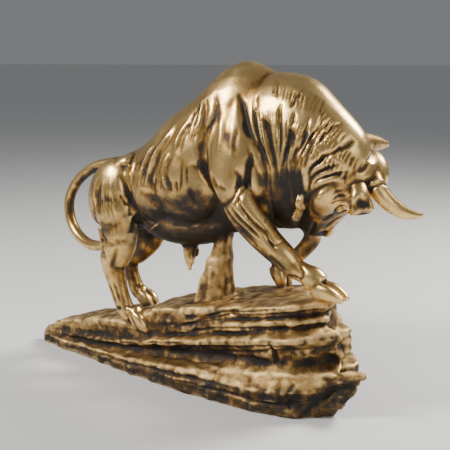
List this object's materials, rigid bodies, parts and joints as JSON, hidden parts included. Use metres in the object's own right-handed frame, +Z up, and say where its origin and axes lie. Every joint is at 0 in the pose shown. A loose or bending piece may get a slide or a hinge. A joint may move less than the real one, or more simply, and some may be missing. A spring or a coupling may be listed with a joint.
{
  "type": "bull sculpture",
  "caption": "Tabletop sculpture of a charging bull with lowered, twisted head and looped tail, cast in one with a pillar and a layered rock base.",
  "frame": {"origin": "middle of the flat underside of the rock base", "axes": "+X towards the bull's chest, +Y towards its left side, +Z up from the underside"},
  "size_m": [0.5017, 0.1771, 0.3695],
  "materials": {
    "antique_gold": "antique gold paint, rubbed bright on the ridges, dark in the folds"
  },
  "bodies": {
    "root": {"bull_sculpture": "antique_gold"}
  },
  "joints": []
}
